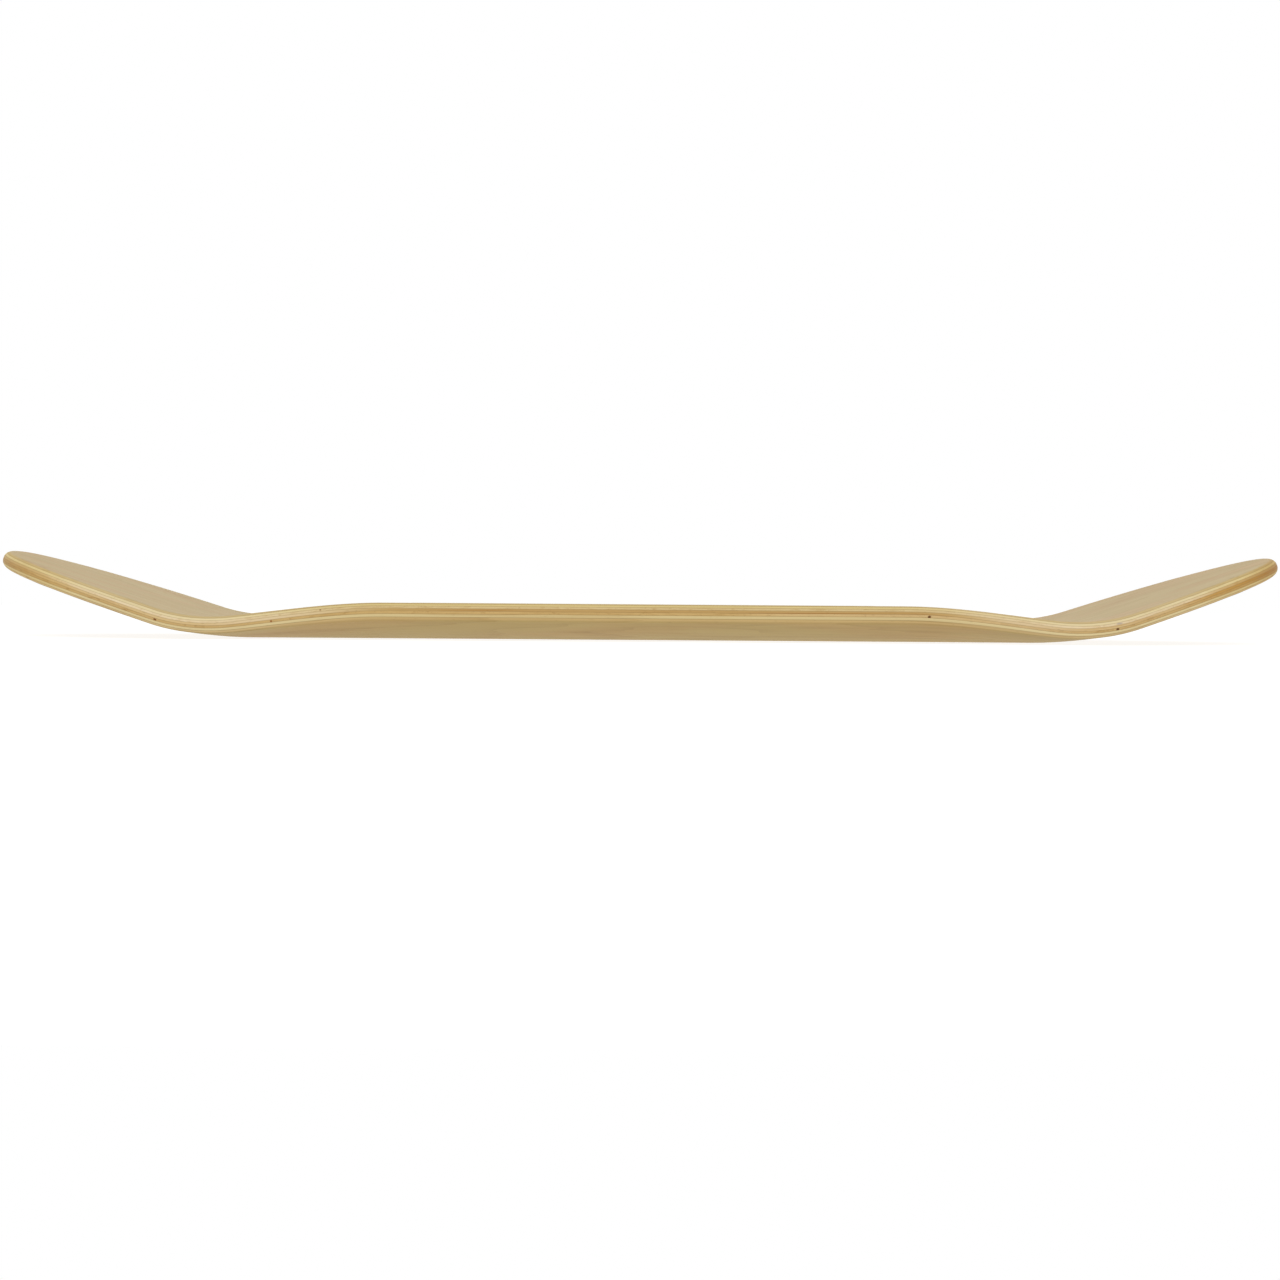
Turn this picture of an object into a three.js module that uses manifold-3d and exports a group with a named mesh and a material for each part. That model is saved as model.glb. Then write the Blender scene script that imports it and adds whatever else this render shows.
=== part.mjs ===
import * as THREE from "three";
import { mergeVertices } from "three/addons/utils/BufferGeometryUtils.js";
import Module from "manifold-3d";

// A bare double-kick skateboard deck: seven maple veneers glued face to face over one mould,
// cut to a popsicle outline, rounded all along the edge and drilled for two trucks.
// Millimetres. x runs from the nose to the tail, y across the deck and z up. The origin lies
// under the middle of the deck, on the flat of its underside.

// Outline of the laminate's middle, seen from above
const deckLength = 800;
const deckWidth = 203;
const noseTaperLength = 139;
const tailTaperLength = 142;
const noseFullnessPower = 2.2;
const tailFullnessPower = 2.1;

// Laminate
const plyThickness = 1.4;
const glueLine = 0.05;
const edgeRadius = 4.6;

// Truck holes: the two patterns, and the flat wood left between the outer bolts and the bends
const wheelbase = 355.6;
const boltSpacingAlong = 54;
const boltSpacingAcross = 41.3;
const boltHoleDiameter = 5.2;
const boltToBend = 7.5;
const drillOverrun = 3;

// Kicks
const noseKickDegrees = 18.1;
const tailKickDegrees = 18.8;
const noseBendRadius = 156;
const tailBendRadius = 164;

// Concave: the dish across the deck, full between the trucks and faded out by the end of each bend
const flatWidth = 64;
const concaveDepth = 13.7;
const kickConcaveDepth = 1;
const concaveFadeLength = 137;

// How finely the curves are divided
const taperSteps = 8;
const bendSteps = 4;
const fadeSteps = 5;
const concaveSteps = 4;
const edgeStepDegrees = 18;
const holeSides = 12;

// The stack from the underside up. Long-grain veneers run nose to tail, cross-grain ones side to side.
const plies = [
  { name: "bottom_face_veneer", colour: 0xc9b084 },
  { name: "lower_long_grain_veneer", colour: 0xd6bf8c },
  { name: "lower_cross_grain_veneer", colour: 0xbc9a62 },
  { name: "core_veneer", colour: 0xc09c66 },
  { name: "upper_cross_grain_veneer", colour: 0xdcc49c },
  { name: "upper_long_grain_veneer", colour: 0xdac492 },
  { name: "top_face_veneer", colour: 0xc9b58e },
];
const deckThickness = plies.length * plyThickness + (plies.length - 1) * glueLine;
const halfThickness = deckThickness / 2;
const halfWidth = deckWidth / 2;
const flatHalfWidth = flatWidth / 2;
const edgeRound = Math.min(edgeRadius, halfThickness);
const bendStart = wheelbase / 2 + boltSpacingAlong + boltToBend;

function makeEnd(side, taperLength, fullness, kickDegrees, bendRadius) {
  const kickAngle = THREE.MathUtils.degToRad(kickDegrees);
  const bendSpan = bendRadius * Math.sin(kickAngle);
  return {
    side,
    taperLength,
    fullness,
    kickAngle,
    bendRadius,
    bendSpan,
    bendEnd: bendStart + bendSpan,
    taperStart: deckLength / 2 - taperLength,
  };
}
const nose = makeEnd(-1, noseTaperLength, noseFullnessPower, noseKickDegrees, noseBendRadius);
const tail = makeEnd(1, tailTaperLength, tailFullnessPower, tailKickDegrees, tailBendRadius);

// The bent end's rise above the flat, and its slope along x, at a distance from the deck's middle.
function kickRise(end, distance) {
  const past = distance - bendStart;
  if (past <= 0) return { rise: 0, slope: 0 };
  if (past < end.bendSpan) {
    const level = Math.sqrt(end.bendRadius ** 2 - past ** 2);
    return { rise: end.bendRadius - level, slope: (end.side * past) / level };
  }
  const steepness = Math.tan(end.kickAngle);
  const bendRise = end.bendRadius * (1 - Math.cos(end.kickAngle));
  return { rise: bendRise + (past - end.bendSpan) * steepness, slope: end.side * steepness };
}

// The dish's rise at a point, and its slopes along x and y.
function concaveRise(end, distance, y) {
  const fade = THREE.MathUtils.clamp((end.bendEnd - distance) / concaveFadeLength, 0, 1);
  const depthGain = concaveDepth - kickConcaveDepth;
  const depth = kickConcaveDepth + depthGain * fade ** 2 * (3 - 2 * fade);
  const depthSlope = (-end.side * depthGain * 6 * fade * (1 - fade)) / concaveFadeLength;
  const dishWidth = halfWidth - flatHalfWidth;
  const across = Math.max(Math.abs(y) - flatHalfWidth, 0) / dishWidth;
  return {
    rise: depth * across ** 2,
    slopeX: depthSlope * across ** 2,
    slopeY: (Math.sign(y) * depth * 2 * across) / dishWidth,
  };
}

// A point of the pressed laminate: x and y on its middle surface, then up or down along the normal
// to a height above the underside.
function pressedPoint(end, x, y, height) {
  const kick = kickRise(end, Math.abs(x));
  const dish = concaveRise(end, Math.abs(x), y);
  const normal = new THREE.Vector3(-kick.slope - dish.slopeX, -dish.slopeY, 1).normalize();
  const middle = new THREE.Vector3(x, y, halfThickness + kick.rise + dish.rise);
  return middle.addScaledVector(normal, height - halfThickness);
}

// The rounded edge at a height in the stack: its tilt from level, and how far it stands in.
function edgeTilt(height) {
  const lower = Math.max(edgeRound - height, 0);
  const upper = Math.max(height - (deckThickness - edgeRound), 0);
  return Math.asin(Math.min((upper - lower) / edgeRound, 1));
}
function edgeInset(height) {
  return edgeRound * (1 - Math.cos(edgeTilt(height)));
}
function heightAtTilt(tilt) {
  const round = edgeRound * (1 + Math.sin(-Math.abs(tilt)));
  return tilt < 0 ? round : deckThickness - round;
}

// Heights of the rows of corners that carry one veneer's share of the rounded edge.
function edgeRows(bottom, top) {
  const from = edgeTilt(bottom);
  const to = edgeTilt(top);
  const step = THREE.MathUtils.degToRad(edgeStepDegrees);
  const count = Math.max(Math.ceil((to - from) / step), 1);
  const between = Array.from({ length: count - 1 }, (_, k) =>
    heightAtTilt(THREE.MathUtils.lerp(from, to, (k + 1) / count)),
  );
  return [bottom, ...between, top];
}

// Distances from the deck's middle at which one end is divided, from the middle outwards.
function endStations(end) {
  const steps = (count) => Array.from({ length: count }, (_, k) => (k + 1) / count);
  const fade = steps(fadeSteps).map((share) => end.bendEnd - concaveFadeLength * share);
  const bend = steps(bendSteps).map((share) => bendStart + end.bendSpan * share);
  const taper = steps(taperSteps).map(
    (share) => end.taperStart + end.taperLength * Math.sin((share * Math.PI) / 2),
  );
  return [...fade, bendStart, ...bend, ...taper].sort((a, b) => a - b);
}
const stations = [
  ...endStations(nose).reverse().map((distance) => ({ end: nose, distance })),
  ...endStations(tail).map((distance) => ({ end: tail, distance })),
];

// Places across the deck, as shares of the half width: the flat's two sides, then out to each edge.
const flatShare = flatHalfWidth / halfWidth;
const outwardShares = Array.from({ length: concaveSteps + 1 }, (_, k) =>
  THREE.MathUtils.lerp(flatShare, 1, k / concaveSteps),
);
const columnShares = [...outwardShares.map((share) => -share).reverse(), ...outwardShares];

// One surface of the laminate at a height in the stack, as rows of points from nose to tail.
function pressedSheet(height) {
  const inset = edgeInset(height);
  return stations.map(({ end, distance }) => {
    const intoTaper = THREE.MathUtils.clamp((distance - end.taperStart) / end.taperLength, 0, 1);
    const x = end.side * (distance - intoTaper * inset);
    const half = (halfWidth - inset) * (1 - intoTaper ** end.fullness) ** (1 / end.fullness);
    return columnShares.map((share) => pressedPoint(end, x, share * half, height));
  });
}

// A veneer before drilling: two pressed faces, closed all round by its share of the edge.
function pressedVeneer(bottom, top) {
  const corners = [];
  const addTriangle = (a, b, c) => {
    if (!a.equals(b) && !b.equals(c) && !c.equals(a)) corners.push(a, b, c);
  };
  const addQuad = (a, b, c, d) => {
    addTriangle(a, b, c);
    addTriangle(a, c, d);
  };
  const sheets = edgeRows(bottom, top).map(pressedSheet);
  const under = sheets[0];
  const over = sheets.at(-1);
  const lastColumn = columnShares.length - 1;
  for (let i = 0; i < stations.length - 1; i++) {
    for (let j = 0; j < lastColumn; j++) {
      addQuad(over[i][j], over[i + 1][j], over[i + 1][j + 1], over[i][j + 1]);
      addQuad(under[i][j], under[i][j + 1], under[i + 1][j + 1], under[i + 1][j]);
    }
    for (let k = 0; k < sheets.length - 1; k++) {
      const low = sheets[k];
      const high = sheets[k + 1];
      addQuad(low[i][0], low[i + 1][0], high[i + 1][0], high[i][0]);
      addQuad(low[i][lastColumn], high[i][lastColumn], high[i + 1][lastColumn], low[i + 1][lastColumn]);
    }
  }
  return new THREE.BufferGeometry().setFromPoints(corners);
}

const wasm = await Module();
wasm.setup();

function toSolid(geometry) {
  geometry.deleteAttribute("normal");
  geometry.deleteAttribute("uv");
  const merged = mergeVertices(geometry);
  const vertProperties = merged.attributes.position.array;
  const triVerts = new Uint32Array(merged.index.array);
  return new wasm.Manifold(new wasm.Mesh({ numProp: 3, vertProperties, triVerts }));
}

function toGeometry(solid) {
  const { vertProperties, triVerts } = solid.getMesh();
  const geometry = new THREE.BufferGeometry();
  geometry.setAttribute("position", new THREE.BufferAttribute(vertProperties, 3));
  geometry.setIndex(new THREE.BufferAttribute(triVerts, 1));
  geometry.computeVertexNormals();
  return geometry;
}

// The drill's path for one bolt.
function boltHole(x, y) {
  const radius = boltHoleDiameter / 2;
  const length = deckThickness + 2 * drillOverrun;
  const path = new THREE.CylinderGeometry(radius, radius, length, holeSides);
  path.rotateX(Math.PI / 2);
  path.translate(x, y, halfThickness);
  return toSolid(path);
}
const boltHoles = [nose, tail].flatMap(({ side }) =>
  [wheelbase / 2, wheelbase / 2 + boltSpacingAlong].flatMap((distance) =>
    [-boltSpacingAcross / 2, boltSpacingAcross / 2].map((y) => boltHole(side * distance, y)),
  ),
);

const deck = new THREE.Group();
plies.forEach(({ name, colour }, k) => {
  const bottom = k * (plyThickness + glueLine);
  const pressed = toSolid(pressedVeneer(bottom, bottom + plyThickness));
  const drilled = boltHoles.reduce((veneer, hole) => veneer.subtract(hole), pressed);
  const wood = new THREE.MeshStandardMaterial({ color: colour, roughness: 0.5, metalness: 0 });
  const mesh = new THREE.Mesh(toGeometry(drilled), wood);
  mesh.name = name;
  deck.add(mesh);
});

export default deck;
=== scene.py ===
import math

import bmesh
import bpy
from mathutils import Matrix, Vector


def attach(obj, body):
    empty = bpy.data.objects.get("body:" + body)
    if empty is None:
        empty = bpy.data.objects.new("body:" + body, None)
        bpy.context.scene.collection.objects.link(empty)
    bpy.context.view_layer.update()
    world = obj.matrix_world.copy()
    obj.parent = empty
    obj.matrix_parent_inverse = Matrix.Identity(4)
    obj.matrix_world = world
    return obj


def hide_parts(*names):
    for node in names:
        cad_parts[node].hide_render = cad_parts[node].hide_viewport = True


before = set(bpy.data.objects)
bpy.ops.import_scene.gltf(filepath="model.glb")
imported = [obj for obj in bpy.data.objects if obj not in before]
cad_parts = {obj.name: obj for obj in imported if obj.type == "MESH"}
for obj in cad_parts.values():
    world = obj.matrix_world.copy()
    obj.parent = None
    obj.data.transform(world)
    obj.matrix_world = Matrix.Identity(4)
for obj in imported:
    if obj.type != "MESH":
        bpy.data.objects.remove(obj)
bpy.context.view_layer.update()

# A bare double-kick skateboard deck: seven maple veneers, laid out flat, drilled and pressed over
# one mould. Metres. x runs from the nose to the tail, y across the deck and z up.

# Outline of the laminate's middle, seen from above
DECK_LENGTH = 0.8
DECK_WIDTH = 0.203
NOSE_TAPER_LENGTH = 0.139
TAIL_TAPER_LENGTH = 0.142
NOSE_FULLNESS_POWER = 2.2
TAIL_FULLNESS_POWER = 2.1

# Laminate
PLY_THICKNESS = 0.0014
GLUE_LINE = 0.00005
EDGE_RADIUS = 0.0046

# Truck holes
WHEELBASE = 0.3556
BOLT_SPACING_ALONG = 0.054
BOLT_SPACING_ACROSS = 0.0413
BOLT_HOLE_DIAMETER = 0.0052
BOLT_TO_BEND = 0.0075

# Kicks
NOSE_KICK_DEGREES = 18.1
TAIL_KICK_DEGREES = 18.8
NOSE_BEND_RADIUS = 0.156
TAIL_BEND_RADIUS = 0.164

# Concave: the dish across the deck, full between the trucks and faded out by the end of each bend
FLAT_WIDTH = 0.064
CONCAVE_DEPTH = 0.013
KICK_CONCAVE_DEPTH = 0.001
CONCAVE_FADE_LENGTH = 0.137

# Pits that the sanding has opened in the near edge
PIT_DEPTH = 0.0006
PIT_WALL_POWER = 3

# How finely the veneers are divided
LONG_CELLS = 160
CROSS_CELLS = 40
EDGE_STEP_DEGREES = 2.5
RIM_GATHER_POWER = 8
HOLE_CLEARING = 1.5
HOLE_RIM_CUTS = 1
HOLE_INSET = 0.001
PIT_CUTS = 24
RIM_SHARE = 0.999
SHARP_DEGREES = 35

PLY_COUNT = 7
DECK_THICKNESS = PLY_COUNT * PLY_THICKNESS + (PLY_COUNT - 1) * GLUE_LINE
HALF_THICKNESS = DECK_THICKNESS / 2
HALF_WIDTH = DECK_WIDTH / 2
FLAT_HALF_WIDTH = FLAT_WIDTH / 2
BEND_START = WHEELBASE / 2 + BOLT_SPACING_ALONG + BOLT_TO_BEND


class End:
    """The nose or the tail: how its outline closes and how its kick bends."""

    def __init__(self, side, taper_length, fullness, kick_degrees, bend_radius):
        self.side = side
        self.taper_length = taper_length
        self.taper_start = DECK_LENGTH / 2 - taper_length
        self.fullness = fullness
        self.kick_angle = math.radians(kick_degrees)
        self.bend_radius = bend_radius
        self.bend_span = bend_radius * math.sin(self.kick_angle)
        self.bend_end = BEND_START + self.bend_span

    def kick_rise(self, distance):
        """The kick's rise and its slope along x, at a distance from the deck's middle."""
        past = distance - BEND_START
        if past <= 0:
            return 0, 0
        if past < self.bend_span:
            level = math.sqrt(self.bend_radius**2 - past**2)
            return self.bend_radius - level, self.side * past / level
        steepness = math.tan(self.kick_angle)
        bend_rise = self.bend_radius * (1 - math.cos(self.kick_angle))
        return bend_rise + (past - self.bend_span) * steepness, self.side * steepness

    def concave_rise(self, distance, y):
        """The dish's rise at a point, and its slopes along x and y."""
        fade = min(max((self.bend_end - distance) / CONCAVE_FADE_LENGTH, 0), 1)
        gain = CONCAVE_DEPTH - KICK_CONCAVE_DEPTH
        depth = KICK_CONCAVE_DEPTH + gain * fade**2 * (3 - 2 * fade)
        depth_slope = -self.side * gain * 6 * fade * (1 - fade) / CONCAVE_FADE_LENGTH
        dish_width = HALF_WIDTH - FLAT_HALF_WIDTH
        across = max(abs(y) - FLAT_HALF_WIDTH, 0) / dish_width
        slope_y = math.copysign(depth * 2 * across / dish_width, y)
        return depth * across**2, depth_slope * across**2, slope_y

    def normal(self, distance, y):
        """The way up through the pressed veneers."""
        dish_slope_x, dish_slope_y = self.concave_rise(distance, y)[1:]
        slope_x = self.kick_rise(distance)[1] + dish_slope_x
        return Vector((-slope_x, -dish_slope_y, 1)).normalized()


NOSE = End(-1, NOSE_TAPER_LENGTH, NOSE_FULLNESS_POWER, NOSE_KICK_DEGREES, NOSE_BEND_RADIUS)
TAIL = End(1, TAIL_TAPER_LENGTH, TAIL_FULLNESS_POWER, TAIL_KICK_DEGREES, TAIL_BEND_RADIUS)


def end_at(x):
    return NOSE if x < 0 else TAIL


def edge_tilt(height):
    """How far the rounded edge leans from upright, at a height in the stack."""
    lower = max(EDGE_RADIUS - height, 0)
    upper = max(height - (DECK_THICKNESS - EDGE_RADIUS), 0)
    return math.asin(min(max((upper - lower) / EDGE_RADIUS, -1), 1))


def edge_inset(height):
    return EDGE_RADIUS * (1 - math.cos(edge_tilt(height)))


def height_at_tilt(tilt):
    turned = EDGE_RADIUS * (1 - math.sin(abs(tilt)))
    return turned if tilt < 0 else DECK_THICKNESS - turned


def edge_rows(bottom, top):
    """Heights of the rows of corners on one veneer's share of the rounded edge."""
    low, high = edge_tilt(bottom), edge_tilt(top)
    count = max(math.ceil((high - low) / math.radians(EDGE_STEP_DEGREES)), 1)
    between = [height_at_tilt(low + (high - low) * k / count) for k in range(1, count)]
    return [bottom, *between, top]


def cut_place(x, y, height):
    """Where a point of the uncut blank ends up on the veneer cut to the deck's outline."""
    end = end_at(x)
    across = y / HALF_WIDTH
    along = max((abs(x) - end.taper_start) / end.taper_length, 0)
    gather = max(along, abs(across)) ** RIM_GATHER_POWER
    inset = edge_inset(height) * gather
    # The sides are sawn upright, so where the dish tilts the veneers, the upper ones reach further
    overlap = -end.normal(abs(x), HALF_WIDTH).y * (height - HALF_THICKNESS) * gather
    half = HALF_WIDTH - inset + overlap
    if along == 0:
        return x, across * half
    forward = along * math.sqrt(1 - across**2 / 2)
    sideways = across * math.sqrt(1 - along**2 / 2)
    reach = math.hypot(forward, sideways)
    full = (abs(forward) ** end.fullness + abs(sideways) ** end.fullness) ** (1 / end.fullness)
    swell = reach / full
    cut_x = end.taper_start + forward * swell * (end.taper_length - inset)
    return end.side * cut_x, sideways * swell * half


def pressed_place(x, y, height):
    """A point of a cut veneer once it is pressed over the mould."""
    end = end_at(x)
    rise = end.kick_rise(abs(x))[0] + end.concave_rise(abs(x), y)[0]
    middle = Vector((x, y, HALF_THICKNESS + rise))
    return middle + end.normal(abs(x), y) * (height - HALF_THICKNESS)


BOLT_PLACES = [
    Vector((side * along, across, 0))
    for side in (-1, 1)
    for along in (WHEELBASE / 2, WHEELBASE / 2 + BOLT_SPACING_ALONG)
    for across in (-BOLT_SPACING_ACROSS / 2, BOLT_SPACING_ACROSS / 2)
]


def drill(blank, place):
    """Opens a round hole in the flat blank, with one ring of cells between it and the grid."""
    reach = HOLE_CLEARING * DECK_WIDTH / CROSS_CELLS
    cells = [
        f for f in blank.faces
        if abs(f.calc_center_median().x - place.x) < reach
        and abs(f.calc_center_median().y - place.y) < reach
    ]
    patch = bmesh.ops.dissolve_faces(blank, faces=cells, use_verts=False)["region"]
    bmesh.ops.subdivide_edges(blank, edges=patch[0].edges[:], cuts=HOLE_RIM_CUTS)
    bmesh.ops.inset_individual(blank, faces=patch, thickness=HOLE_INSET)
    rim = sorted(patch[0].verts, key=lambda v: math.atan2(v.co.y - place.y, v.co.x - place.x))
    start = rim[0].co - place
    for k, corner in enumerate(rim):
        turn = Matrix.Rotation(2 * math.pi * k / len(rim), 3, "Z")
        corner.co = place + turn @ start.normalized() * BOLT_HOLE_DIAMETER / 2
    bmesh.ops.delete(blank, geom=patch, context="FACES_ONLY")


def is_near_rim(corner):
    return corner.co.y < -RIM_SHARE * HALF_WIDTH


def divide_rim(blank, mark):
    """Cuts the near rim of the flat blank finely round a pit."""
    cells = []
    for edge in blank.edges:
        if edge.is_boundary and all(is_near_rim(v) for v in edge.verts):
            middle = (edge.verts[0].co + edge.verts[1].co) / 2
            cut_x = cut_place(middle.x, middle.y, mark.height)[0]
            if abs(cut_x - mark.x) < DECK_LENGTH / LONG_CELLS:
                cells.append(edge)
    bmesh.ops.subdivide_edges(blank, edges=cells, cuts=PIT_CUTS)


def pressed_veneer(name, bottom, marks):
    """One veneer: a drilled blank, built up along its rounded edge, cut to outline and pressed."""
    blank = bmesh.new()
    bmesh.ops.create_grid(blank, x_segments=LONG_CELLS, y_segments=CROSS_CELLS, size=0.5)
    bmesh.ops.scale(blank, verts=blank.verts, vec=(DECK_LENGTH, DECK_WIDTH, 1))
    for place in BOLT_PLACES:
        drill(blank, place)
    for mark in marks:
        if mark.pit:
            divide_rim(blank, mark)
    rows = edge_rows(bottom, bottom + PLY_THICKNESS)
    bmesh.ops.translate(blank, verts=blank.verts, vec=(0, 0, bottom))
    sheet = blank.faces[:]
    for low, high in zip(rows, rows[1:]):
        raised = bmesh.ops.extrude_face_region(blank, geom=sheet, use_keep_orig=True)["geom"]
        if low > bottom:
            bmesh.ops.delete(blank, geom=sheet, context="FACES")
        sheet = [g for g in raised if isinstance(g, bmesh.types.BMFace)]
        corners = [g for g in raised if isinstance(g, bmesh.types.BMVert)]
        bmesh.ops.translate(blank, verts=corners, vec=(0, 0, high - low))
    flat_place = blank.verts.layers.float_vector.new("flat_place")
    for corner in blank.verts:
        x, y = cut_place(*corner.co)
        height = corner.co.z
        corner[flat_place] = (x, y, height)
        if is_near_rim(corner):
            y += max((mark.depth(x, height) for mark in marks), default=0)
        corner.co = pressed_place(x, y, height)
    bmesh.ops.recalc_face_normals(blank, faces=blank.faces)
    mesh = bpy.data.meshes.new(name)
    blank.to_mesh(mesh)
    blank.free()
    mesh.shade_smooth()
    mesh.set_sharp_from_angle(angle=math.radians(SHARP_DEGREES))
    piece = bpy.data.objects.new(name, mesh)
    bpy.context.scene.collection.objects.link(piece)
    return piece


class Wire:
    """A number carried by a material's socket, on which sums are written as plain expressions."""

    def __init__(self, finish, socket):
        self.finish = finish
        self.socket = socket

    def maths(self, operation, *values):
        sockets = dict(enumerate(values))
        return self.finish.node("ShaderNodeMath", {"operation": operation}, sockets)

    def __add__(self, other):
        return self.maths("ADD", self, other)

    def __sub__(self, other):
        return self.maths("SUBTRACT", self, other)

    def __rsub__(self, other):
        return self.maths("SUBTRACT", other, self)

    def __mul__(self, other):
        return self.maths("MULTIPLY", self, other)

    def __truediv__(self, other):
        return self.maths("DIVIDE", self, other)

    def __pow__(self, other):
        return self.maths("POWER", self, other)

    def __abs__(self):
        return self.maths("ABSOLUTE", self)

    __radd__ = __add__
    __rmul__ = __mul__

    def fraction(self):
        return self.maths("FRACT", self)

    def most(self, other):
        return self.maths("MAXIMUM", self, other)


class Finish:
    """A material being made: every node comes from node(), its sockets by name or number."""

    def __init__(self, holder):
        holder.use_nodes = True
        self.tree = holder.node_tree
        self.tree.nodes.clear()

    def node(self, kind, settings=None, sockets=None, out=0):
        node = self.tree.nodes.new(kind)
        for name, value in (settings or {}).items():
            setattr(node, name, value)
        for name, value in (sockets or {}).items():
            if isinstance(value, Wire):
                self.tree.links.new(value.socket, node.inputs[name])
            else:
                node.inputs[name].default_value = value
        return Wire(self, node.outputs[out] if len(node.outputs) else None)

    def step(self, value, low, high):
        """0 below low, 1 above high, smooth between; the other way round if low is higher."""
        kept = {"Value": value, "From Min": low, "From Max": high}
        return self.node("ShaderNodeMapRange", {"interpolation_type": "SMOOTHSTEP"}, kept)

    def between(self, value, low, high, soft):
        """1 from low to high and 0 outside, with soft borders."""
        return self.step(value, low - soft, low + soft) * self.step(value, high + soft, high - soft)

    def mixed(self, share, first, second):
        colours = {0: share, 6: first, 7: second}
        return self.node("ShaderNodeMix", {"data_type": "RGBA"}, colours, out=2)

    def tinted(self, colour, tint):
        settings = {"data_type": "RGBA", "blend_type": "MULTIPLY"}
        return self.node("ShaderNodeMix", settings, {0: 1, 6: colour, 7: tint}, out=2)

    def noise(self, place, cells, seed, detail=2, roughness=0.5, distortion=0):
        """Soft noise, by its cells per metre along the grain, across it and up through the ply."""
        along, across, up = (wire * count for wire, count in zip(place, cells))
        spread = self.node("ShaderNodeCombineXYZ", None, {0: along + seed, 1: across, 2: up})
        look = {"Scale": 1, "Detail": detail, "Roughness": roughness, "Distortion": distortion}
        return self.node("ShaderNodeTexNoise", None, {"Vector": spread, **look})


def tone(code):
    """A colour written as on a paint card, as the shader wants it."""
    shares = [int(code[k:k + 2], 16) / 255 for k in (0, 2, 4)]
    return (*[s / 12.92 if s < 0.04045 else ((s + 0.055) / 1.055) ** 2.4 for s in shares], 1)


class Mark:
    """A knot, scuff or pit on the near edge. Its reach is 0 in the middle and 1 at the border."""

    def __init__(self, x, height, half_length, half_height, shade, pit=0):
        self.x = x
        self.height = height
        self.half_length = half_length
        self.half_height = half_height
        self.shade = tone(shade)
        self.pit = pit

    def reach(self, x, height):
        along = (x - self.x) / self.half_length
        up = (height - self.height) / self.half_height
        return (along * along + up * up) ** 0.5

    def depth(self, x, height):
        """How far the pit goes into the wood."""
        return self.pit * max(1 - self.reach(x, height) ** PIT_WALL_POWER, 0)


class Veneer:
    """What one veneer is and looks like."""

    def __init__(self, node, slot, pale, deep, streak, streaks, specks, amber, long_grain=True,
                 stained=(), sapwood_and_sheen=(), tips=0, tail=0, face=None, marks=()):
        self.node = node
        self.slot = slot
        self.long_grain = long_grain
        # The wood's colours: early growth, late growth and streaks
        self.pale = tone(pale)
        self.deep = tone(deep)
        self.streak = tone(streak)
        # How strong its streaks and pores are
        self.streaks = streaks
        self.specks = specks
        # Stretches of x where the streaks gather, and where the edge is paler, from sapwood on some
        # veneers and from a painted sheen on the upper ones, with its strength
        self.stained = stained
        self.sapwood_and_sheen = sapwood_and_sheen
        # How much deeper it is at both tips, and browner at the tail's
        self.tips = tips
        self.tail = tail
        # The edge's tint, partly painted shade on the dished sides, and the tint on the veneer's
        # outer face if it has one
        self.amber = tone(amber)
        self.face = face and tone(face)
        self.marks = marks


WHITE = (1, 1, 1, 1)
# A pale sapwood tone, also used to paint a sheen on the upper veneers' edge
SAPWOOD_AND_SHEEN = tone("ecd7b2")
PORE = tone("7a5a33")
TAIL_BROWN = tone("c4984f")
TIP_GOLD = tone("fffbec")
TAIL_GOLD = tone("eee2c6")
BLUSH_PALE = tone("fefffd")
BLUSH_PINK = tone("fff8f6")
GLUE = tone("a07b45")

# Cells of each noise per metre, along the grain, across it and up through the ply
BAND_CELLS = (7, 160, 900)
FIBRE_CELLS = (60, 1500, 2600)
CLOUD_CELLS = (16, 34, 80)
SWELL_CELLS = (1.5, 12, 60)
STREAK_CELLS = (7, 220, 650)
PORE_CELLS = (260, 2400, 2400)
BLUSH_CELLS = (11, 26, 60)
WANDER_CELLS = (900, 900, 900)

# Where each change of the colour starts and is complete, from the deck's middle outwards
DEEPER_TIPS = (0.33, 0.385)
BROWNER_TAIL = (0.3, 0.35)
# The kicks' edge, left paler as painted light where it faces the front light
LIT_KICKS = (0.15, 0.27)
GOLDEN_TIPS = (0.32, 0.36)
DARKER_TAIL = (0.355, 0.39)
OUTER_EDGE = (0.096, 0.0995)
NEAR_SIDE = (-0.08, -0.09)
# The same up from one outer face, where its look ends and where it is complete
FACE_BORDER = (0.0009, 0.00002)

RINGS_ACROSS_SWELL = 15
STAIN_FADE = 0.05
SAPWOOD_AND_SHEEN_FADE = 0.025
GLUE_SPREAD = 0.00022
GLUE_STRENGTH = 0.45
FIBRE_RELIEF = 0.00012
RELIEF_STRENGTH = 0.35
ROUGHNESS = 0.52
GLOSS = 0.3


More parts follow.
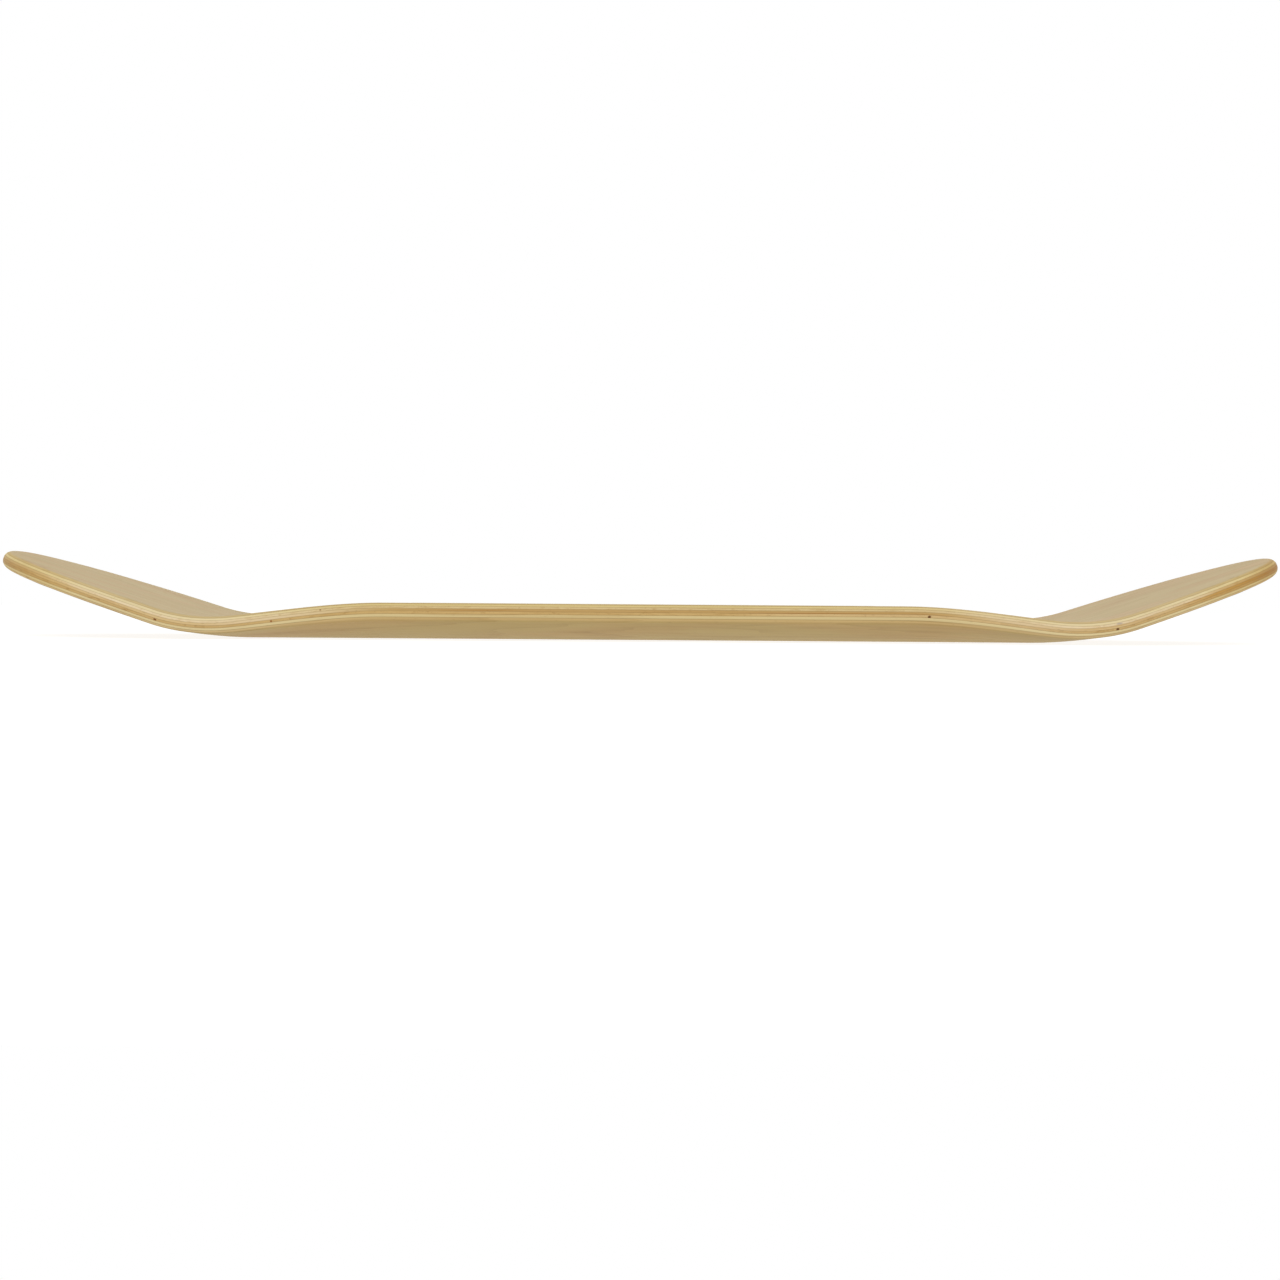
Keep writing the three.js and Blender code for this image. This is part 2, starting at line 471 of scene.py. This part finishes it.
def maple_finish(veneer, bottom, seed):
    """Sanded maple under thin satin lacquer, with its figure, fibres, flecks and glue lines."""
    material = bpy.data.materials.new(veneer.slot + "_finish")
    finish = Finish(material)
    # The place on the flat veneer, also turned to run along its grain, across it and up
    flat = finish.node("ShaderNodeAttribute", {"attribute_name": "flat_place"}, out="Vector")
    x, y, up = (finish.node("ShaderNodeSeparateXYZ", None, {0: flat}, out=k) for k in range(3))
    place = (x, y, up) if veneer.long_grain else (y, x, up)

    # Fibres run along the grain, broad and fine
    bands = finish.noise(place, BAND_CELLS, seed + 3.7, detail=3)
    fibres = finish.noise(place, FIBRE_CELLS, seed + 9.1, roughness=0.6)
    # Soft clouds cross the grain where the fibres dip
    clouds = finish.noise(place, CLOUD_CELLS, seed + 5.3)
    # Peeled veneer shows the growth rings as long wandering contours, feathered by the fibres
    swell = finish.noise(place, SWELL_CELLS, seed, detail=3, roughness=0.4, distortion=0.25)
    year = (swell * RINGS_ACROSS_SWELL + bands * 0.5).fraction()
    rings = year**6 * 0.7 + year * 0.3
    shade = rings * 0.24 + bands * 0.42 + fibres * 0.2 + clouds * 0.36
    at_tips = finish.step(abs(x), *DEEPER_TIPS)
    shade = shade + at_tips * veneer.tips
    colour = finish.mixed(finish.step(shade, 0.35, 0.9), veneer.pale, veneer.deep)

    # Long darker streaks, gathered along parts of the edge
    run = finish.noise(place, STREAK_CELLS, seed + 13.9, roughness=0.55)
    streaks = finish.step(run, 0.64 - 0.14 * veneer.streaks, 0.74 - 0.14 * veneer.streaks)
    share = min(veneer.streaks + 0.2, 1)
    if veneer.stained:
        stain = sum(finish.between(x, low, high, STAIN_FADE) for low, high in veneer.stained)
        share = share * (0.3 + 0.7 * stain)
        colour = finish.mixed(stain * 0.3, colour, veneer.streak)
    colour = finish.mixed(streaks * share, colour, veneer.streak)
    # Paler sapwood, where the edge passes through it; on the three upper veneers near the tail's
    # bend the same pale tone is a painted sheen
    for low, high, paleness in veneer.sapwood_and_sheen:
        at_edge = finish.step(abs(y), *OUTER_EDGE)
        stretch = finish.between(x, low, high, SAPWOOD_AND_SHEEN_FADE) * at_edge
        colour = finish.mixed(stretch * paleness, colour, SAPWOOD_AND_SHEEN)

    # Pores, as short dashes along the grain and dots where it is cut across
    pores = finish.noise(place, PORE_CELLS, seed + 17.3, detail=1)
    flecks = finish.step(pores, 0.66, 0.78)
    colour = finish.mixed(flecks * veneer.specks, colour, PORE)

    # Some veneers are browner towards the tip of the tail
    colour = finish.mixed(finish.step(x, *BROWNER_TAIL) * veneer.tail, colour, TAIL_BROWN)

    # The edge is tinted darker and more amber along the sides and at the two tips than on the
    # kicks. On the sides and kicks this is painted shade and light: the dish turns the sides' edge
    # up from the front light, while the kicks' edge faces it
    lit_kicks = finish.step(abs(x), *LIT_KICKS) * (1 - 0.5 * at_tips)
    lacquer = finish.mixed(lit_kicks, veneer.amber, WHITE)
    # The edge turns golden at both tips, and darker at the tail's
    golden = finish.mixed(finish.step(abs(x), *GOLDEN_TIPS), WHITE, TIP_GOLD)
    darker = finish.mixed(finish.step(x, *DARKER_TAIL), WHITE, TAIL_GOLD)
    lacquer = finish.tinted(finish.tinted(lacquer, golden), darker)
    # The two outer faces are duller than the freshly sanded edge and blush faintly in patches
    if veneer.face:
        depth = up if bottom == 0 else DECK_THICKNESS - up
        blush = finish.step(finish.noise((x, y, up), BLUSH_CELLS, seed + 21.7), 0.4, 0.65)
        face = finish.tinted(veneer.face, finish.mixed(blush, BLUSH_PALE, BLUSH_PINK))
        lacquer = finish.mixed(finish.step(depth, *FACE_BORDER), lacquer, face)
    colour = finish.tinted(colour, lacquer)

    # Glue squeezed to a thin dark line between this veneer and the next
    top = bottom + PLY_THICKNESS
    lines = []
    if bottom > 0:
        lines.append(finish.step(up, bottom + GLUE_SPREAD, bottom))
    if top < DECK_THICKNESS - GLUE_LINE:
        lines.append(finish.step(up, top - GLUE_SPREAD, top))
    glue = lines[0] if len(lines) == 1 else lines[0].most(lines[1])
    colour = finish.mixed(glue * GLUE_STRENGTH, colour, GLUE)

    # Knots, scuffs and pits that the sanded edge has laid open, all on the near side
    near = finish.step(y, *NEAR_SIDE)
    for mark in veneer.marks:
        wander = finish.noise((x, y, up), WANDER_CELLS, seed + 2.9) - 0.5
        border = finish.step(mark.reach(x, up) + wander * 0.8, 1.25, 0.6)
        colour = finish.mixed(border * near, colour, mark.shade)

    relief = fibres * 0.5 + bands * 0.3 - flecks * 0.3 - glue * 0.3
    bump = finish.node(
        "ShaderNodeBump", None,
        {"Strength": RELIEF_STRENGTH, "Distance": FIBRE_RELIEF, "Height": relief},
    )
    surface = finish.node(
        "ShaderNodeBsdfPrincipled", None,
        {"Base Color": colour, "Roughness": ROUGHNESS + fibres * 0.12 + glue * 0.05,
         "Normal": bump, "Specular IOR Level": GLOSS},
    )
    finish.node("ShaderNodeOutputMaterial", None, {"Surface": surface})
    return material


# The pale stretch from x 0.165 to 0.215 on the three upper veneers is a painted sheen, not sapwood
VENEERS = (
    Veneer("bottom_face_veneer", "bottom_face_maple", pale="e2c68f", deep="cfb079",
           streak="b6935d", streaks=0.25, specks=0.3, amber="f2ecdc", face="d9d4b9"),
    Veneer("lower_long_grain_veneer", "lower_long_grain_maple", pale="e8d5a0", deep="dcc48e",
           streak="c4a368", streaks=0.15, specks=0.2, amber="f4f0e7"),
    Veneer("lower_cross_grain_veneer", "lower_cross_grain_maple", pale="cfae73", deep="ba965b",
           streak="9f763c", streaks=0.25, specks=0.7, amber="fffef6", long_grain=False,
           sapwood_and_sheen=((0.07, 0.25, 0.2),), tips=0.2, tail=0.45,
           marks=(Mark(-0.2845, 0.0035, 0.001, 0.0006, "8f5f2c", PIT_DEPTH),
                  Mark(-0.217, 0.0035, 0.0008, 0.0006, "a26f3c", PIT_DEPTH / 2),
                  Mark(0.168, 0.0034, 0.001, 0.0007, "744a1e", PIT_DEPTH),
                  Mark(0.2782, 0.0035, 0.001, 0.0007, "744c22", PIT_DEPTH))),
    Veneer("core_veneer", "core_maple", pale="dbbf8a", deep="c8a56c",
           streak="b98548", streaks=0.85, specks=0.35, amber="ebe5cd",
           stained=((-0.09, 0.18), (0.34, 0.5)),
           sapwood_and_sheen=((-0.24, -0.165, 0.8), (0.2, 0.24, 0.7)), tips=0.35, tail=0.85),
    Veneer("upper_cross_grain_veneer", "upper_cross_grain_maple", pale="e9d5ad", deep="d4b785",
           streak="c2a06a", streaks=0.2, specks=0.4, amber="ebe5cd", long_grain=False,
           sapwood_and_sheen=((0.165, 0.215, 0.4),), tips=0.6, tail=0.3,
           marks=(Mark(0.2798, 0.0065, 0.002, 0.0005, "bdaa95"),
                  Mark(-0.188, 0.0066, 0.0006, 0.0005, "9a7444"))),
    Veneer("upper_long_grain_veneer", "upper_long_grain_maple", pale="e8d6a7", deep="dac794",
           streak="c4a56a", streaks=0.15, specks=0.2, amber="f2ecd1",
           sapwood_and_sheen=((0.165, 0.215, 0.5),)),
    Veneer("top_face_veneer", "top_face_maple", pale="d2ba85", deep="c5ab75",
           streak="ad915e", streaks=0.15, specks=0.3, amber="f7f4e3", face="f5f6ff",
           sapwood_and_sheen=((0.165, 0.215, 0.3),)),
)
SEED_STEP = 20

for k, veneer in enumerate(VENEERS):
    bottom = k * (PLY_THICKNESS + GLUE_LINE)
    piece = pressed_veneer(veneer.node + "_wood", bottom, veneer.marks)
    piece.data.materials.append(maple_finish(veneer, bottom, SEED_STEP * k))
    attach(piece, "root")
    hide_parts(veneer.node)


def seen_rays(finish):
    """1 for what the camera sees, in gloss and through glass too."""
    kinds = ("Is Camera Ray", "Is Glossy Ray", "Is Transmission Ray")
    camera, glossy, through = (finish.node("ShaderNodeLightPath", out=kind) for kind in kinds)
    return camera.most(glossy).most(through)


# A white room
WORLD_LEVEL = 0.69
world = bpy.data.worlds.new("studio")
bpy.context.scene.world = world
room = Finish(world)
strength = WORLD_LEVEL + seen_rays(room) * (1 - WORLD_LEVEL)
sky = room.node("ShaderNodeBackground", None, {"Color": WHITE, "Strength": strength})
room.node("ShaderNodeOutputWorld", None, {"Surface": sky})

# A pale floor that glows a little, like a light table, and keeps the deck's shadow. Light from
# the room reaches the deck through it, so that the underside isn't dark.
FLOOR_SIZE = 12
FLOOR_DROP = 0.0002
FLOOR_GREY = (0.3, 0.3, 0.3, 1)
FLOOR_GLOW = 0.85
table_top = bmesh.new()
bmesh.ops.create_grid(table_top, x_segments=1, y_segments=1, size=FLOOR_SIZE / 2)
bmesh.ops.translate(table_top, verts=table_top.verts, vec=(0, 0, -FLOOR_DROP))
floor_mesh = bpy.data.meshes.new("floor")
table_top.to_mesh(floor_mesh)
table_top.free()
floor = bpy.data.objects.new("floor", floor_mesh)
bpy.context.scene.collection.objects.link(floor)
floor_material = bpy.data.materials.new("floor")
paint = Finish(floor_material)
matt = paint.node("ShaderNodeBsdfDiffuse", None, {"Color": FLOOR_GREY})
glow = paint.node("ShaderNodeEmission", None, {"Color": WHITE, "Strength": FLOOR_GLOW})
both = paint.node("ShaderNodeAddShader", None, {0: matt, 1: glow})
clear = paint.node("ShaderNodeBsdfTransparent")
from_above = 1 - paint.node("ShaderNodeNewGeometry", out="Backfacing")
paint.node(
    "ShaderNodeOutputMaterial", None,
    {"Surface": paint.node(
        "ShaderNodeMixShader", None, {0: seen_rays(paint) * from_above, 1: clear, 2: both}
    )},
)
floor.data.materials.append(floor_material)


LAMP_SIZE = 1.5


def soft_lamp(name, place, watts):
    """A round soft lamp, turned towards the middle of the deck."""
    light = bpy.data.lights.new(name, "AREA")
    light.shape = "DISK"
    light.size = LAMP_SIZE
    light.energy = watts
    lamp = bpy.data.objects.new(name, light)
    lamp.location = place
    lamp.rotation_euler = (-Vector(place)).to_track_quat("-Z", "Y").to_euler()
    bpy.context.scene.collection.objects.link(lamp)


soft_lamp("key_lamp", (-0.2, -2.1, 1.75), watts=18.5)
soft_lamp("fill_lamp", (0.1, -2.1, -1.2), watts=5.5)

# The photograph's camera: its place in metres, lens in millimetres and turns in radians
CAMERA_PLACE = (-0.00745, -1.2472, 0.02253)
CAMERA_LENS = 55.14
CAMERA_SENSOR = 36
CAMERA_ASIDE = 0.00534
CAMERA_DOWN = math.radians(1.064)
CAMERA_ROLL = 0.0072
camera = bpy.data.objects.new("camera", bpy.data.cameras.new("camera"))
camera.data.sensor_width = CAMERA_SENSOR
camera.data.lens = CAMERA_LENS
camera.location = CAMERA_PLACE
aim = Vector((CAMERA_ASIDE, 1, -math.tan(CAMERA_DOWN)))
roll = Matrix.Rotation(CAMERA_ROLL, 3, "Z").to_quaternion()
camera.rotation_euler = (aim.to_track_quat("-Z", "Y") @ roll).to_euler()
bpy.context.scene.collection.objects.link(camera)
bpy.context.scene.camera = camera
bpy.context.scene.view_settings.view_transform = "Standard"
